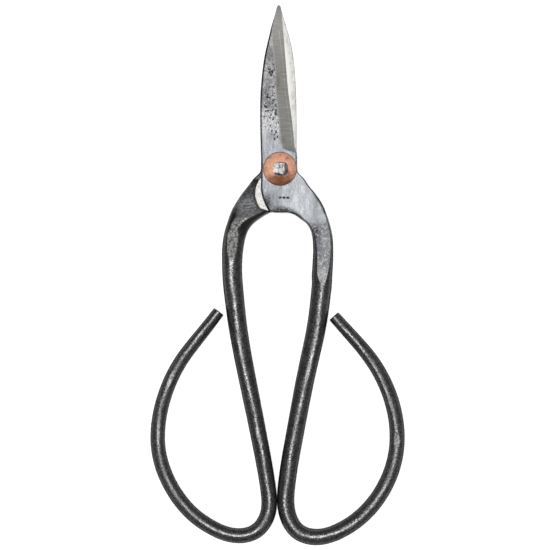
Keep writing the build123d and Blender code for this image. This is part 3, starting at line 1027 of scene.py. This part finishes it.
def finish_piece(piece, body, slot, material, *nodes):
    piece.data.materials.append(material)
    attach(piece, body)
    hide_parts(*nodes)


def hole_cutter(x, y, radius, low, high):
    return turned("cutter", [(0, low), (radius, low), (radius, high), (0, high)], centre=(x, y))


halves = (
    build_half(
        "front", FRONT_BLADE, FRONT_PLATE, FRONT_SHANK, FRONT_BOW, FRONT_RADII, FRONT_CROWN, FRONT_FLATS,
        (0.2, -8.6, 8.0), as_front, 2.0,
    ),
    build_half(
        "back", BACK_BLADE, BACK_PLATE, BACK_SHANK, BACK_BOW, BACK_RADII, BACK_CROWN, BACK_FLATS,
        (0.35, -8.6, 8.4), as_back, 31.0,
    ),
)
PUNCH_DEPTH = 0.25
drill(halves[0][0], [
    hole_cutter(0, 0, HOLE_RADIUS, MID_Z - 2, MID_Z + 6),
    *[hole_cutter(x, y, r, MID_Z + OUTER_Z - PUNCH_DEPTH, MID_Z + 6) for x, y, r in PUNCHES],
])
drill(halves[1][0], [hole_cutter(0, 0, HOLE_RADIUS, MID_Z - 6, MID_Z + 2)])
for side, (blade, edge, grip) in zip(("front", "back"), halves):
    finish_piece(blade, f"{side}_half", "forged_steel", FORGED, f"{side}_blade")
    finish_piece(edge, f"{side}_half", "edge_steel", EDGE, f"{side}_edge_steel")
    finish_piece(grip, f"{side}_half", "black_scale", SCALE, f"{side}_handle")

# ---- washers and rivet

WASHER_CORNER = 0.35  # rounding of a washer's outer edge
WASHER_CHAMFER = 0.08
DOME_STEPS = 14
CORNER_STEPS = 5


def washer(name, node, face_up):
    """A thin copper disc, its outer face lightly domed and its rim a little beaten in and out."""
    low, high = foot_of(node), top_of(node)
    seat, way = (low, 1) if face_up else (high, -1)
    thick = high - low
    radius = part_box(node)[1].x / MM
    sink = thick - thick * 0.66  # how far the dome falls from the hole to the rim
    outline = [(HOLE_RADIUS, seat), (HOLE_RADIUS, seat + way * thick)]
    for k in range(1, DOME_STEPS + 1):
        r = HOLE_RADIUS + (radius - WASHER_CORNER - HOLE_RADIUS) * k / DOME_STEPS
        share = (r - HOLE_RADIUS) / (radius - HOLE_RADIUS)
        outline.append((r, seat + way * (thick - sink * share**2)))
    top = outline[-1][1]
    for k in range(1, CORNER_STEPS + 1):
        a = math.pi / 2 * k / CORNER_STEPS
        r = radius - WASHER_CORNER + WASHER_CORNER * math.sin(a)
        outline.append((r, top - way * WASHER_CORNER * (1 - math.cos(a))))
    outline.append((radius, seat + way * WASHER_CHAMFER))
    outline.append((radius - WASHER_CHAMFER, seat))
    outline.append((HOLE_RADIUS, seat))
    piece = turned(name, outline, 120)
    for vertex in piece.data.vertices:
        p = vertex.co / MM
        r = math.hypot(p.x, p.y)
        if r > HOLE_RADIUS + 0.1:
            beat = noise.noise(Vector((p.x / 2.2, p.y / 2.2, seat)))
            out = 1 - 0.018 * (0.5 + 0.5 * beat) * (r / radius) ** 4
            vertex.co.x *= out
            vertex.co.y *= out
            if abs(p.z - seat) > 0.3:
                dent = 0.05 * (0.5 + 0.5 * noise.noise(Vector((p.x / 1.3, p.y / 1.3, seat + 5))))
                vertex.co.z -= way * dent * MM
    mend(piece.data, 1e-7)
    finish_piece(piece, "back_half", "copper", COPPER, node)


washer("front_washer_domed", "front_washer", True)
washer("back_washer_domed", "back_washer", False)

HEAD_SEAT = top_of("front_washer")
TAIL_SEAT = foot_of("back_washer")
SHANK_RADIUS = 2.0
# The tail's outline from the axis outwards: radius and height
TAIL = ((0.0, 0.0), (1.4, 0.0), (2.1, 0.06), (2.55, 0.28), (2.72, 0.6), (2.72, TAIL_SEAT - 0.02))
HEAD_TALL = top_of("pivot_rivet") - HEAD_SEAT
HEAD_REACH = 2.48  # half of the head's depth
HEAD_STRETCH = 1.09  # its width over its depth
HEAD_SHIFT = 0.18  # how far it lies to the right of the axis
HEAD_SQUARE = 2.7  # 2 would make it round
# Hammered faces of the head: how far each lies over its top at the axis, and its fall along x and y
HEAD_FACES = (
    (0.0, 0.01, -0.02), (0.03, -0.09, 0.04), (0.02, 0.03, 0.13), (0.02, 0.11, -0.11), (0.66, 0.50, 0.02),
    (1.32, -0.55, 0.05), (1.30, 0.08, 0.72), (1.05, -0.05, -0.72), (1.0, 0.52, -0.42),
)


def head_point(reach, c, v):
    """A point of the head's top, under all of its hammered faces."""
    x, y = HEAD_STRETCH * reach * c + HEAD_SHIFT, reach * v
    high = min(HEAD_TALL + over - fx * x - fy * y for over, fx, fy in HEAD_FACES)
    return (x, y, HEAD_SEAT + min(max(high, 0.10), HEAD_TALL))


def rivet(name, sides=96, steps=26):
    """One hammered rivet: a peened tail, a round shank and a faceted head of a squarish outline."""
    turn = [2 * math.pi * k / sides for k in range(sides)]
    shank = ((SHANK_RADIUS, TAIL_SEAT - 0.02), (SHANK_RADIUS, HEAD_SEAT + 0.02))
    loops = [[(r * math.cos(a), r * math.sin(a), z) for a in turn] for r, z in TAIL + shank]
    seat, shell = [], [[] for _ in range(steps)]
    for a in turn:
        c, v = math.cos(a), math.sin(a)
        reach = HEAD_REACH / (abs(c) ** HEAD_SQUARE + abs(v) ** HEAD_SQUARE) ** (1 / HEAD_SQUARE)
        reach *= 1 - 0.03 * (0.5 + 0.5 * math.sin(3 * a + 0.9)) - 0.02 * (0.5 + 0.5 * math.sin(7 * a))
        seat.append((HEAD_STRETCH * reach * c + HEAD_SHIFT, reach * v, HEAD_SEAT + 0.02))
        for i in range(steps):
            shell[i].append(head_point(reach * (1 - i / steps), c, v))
    middle = (HEAD_SHIFT, 0.0, HEAD_SEAT + HEAD_TALL)
    loops += [seat, *shell, [middle] * sides]
    verts = [corner for loop in loops for corner in loop]
    mesh = bpy.data.meshes.new(name)
    mesh.from_pydata(np.array(verts) * MM, [], band_faces(len(loops), sides))
    mend(mesh, 1e-7)
    finish_piece(add_piece(name, mesh, 14), "back_half", "rivet_steel", RIVET, "pivot_rivet")


rivet("pivot_rivet_hammered")

# ---- floor, light and camera

FLOOR_HALF = 5.0
FLOOR_Z = -0.00002
VIEW_CENTRE = Vector((-1.76, -37.2, 5.0)) * MM
VIEW_WIDTH = 0.1932  # what the camera sees across at the height of VIEW_CENTRE
CAMERA_RISE = 1.2 - 0.005  # its height above VIEW_CENTRE
LAMP_AT = Vector((-0.02, 0.02, 1.7))  # the lamp's place from VIEW_CENTRE, which it faces
SENSOR = 36

floor_mesh = bpy.data.meshes.new("studio_floor")
floor_mesh.from_pydata(
    [(x * FLOOR_HALF, y * FLOOR_HALF, FLOOR_Z) for x, y in ((-1, -1), (1, -1), (1, 1), (-1, 1))],
    [], [(0, 1, 2, 3)],
)
floor = add_object("studio_floor", floor_mesh)
floor_paint = Paint("studio_floor")
floor_paint.set(Base_Color=(0.95, 0.95, 0.95), Roughness=0.9)
floor_mesh.materials.append(floor_paint.material)

world = bpy.data.worlds.new("studio")
world.use_nodes = True
background = world.node_tree.nodes["Background"]
background.inputs["Color"].default_value = (1, 1, 1, 1)
background.inputs["Strength"].default_value = 0.36
bpy.context.scene.world = world
bpy.context.scene.view_settings.view_transform = "Standard"

light = bpy.data.lights.new("overhead", "AREA")
light.shape = "DISK"
light.size = 0.26
light.energy = 32
lamp = add_object("overhead", light)
lamp.location = VIEW_CENTRE + LAMP_AT
lamp.rotation_euler = (-LAMP_AT).to_track_quat("-Z", "Y").to_euler()

lens = bpy.data.cameras.new("camera")
lens.sensor_width = SENSOR
lens.lens = SENSOR * CAMERA_RISE / VIEW_WIDTH
lens.clip_start = 0.05
camera = add_object("camera", lens)
camera.location = VIEW_CENTRE + Vector((0, 0, CAMERA_RISE))
bpy.context.scene.camera = camera
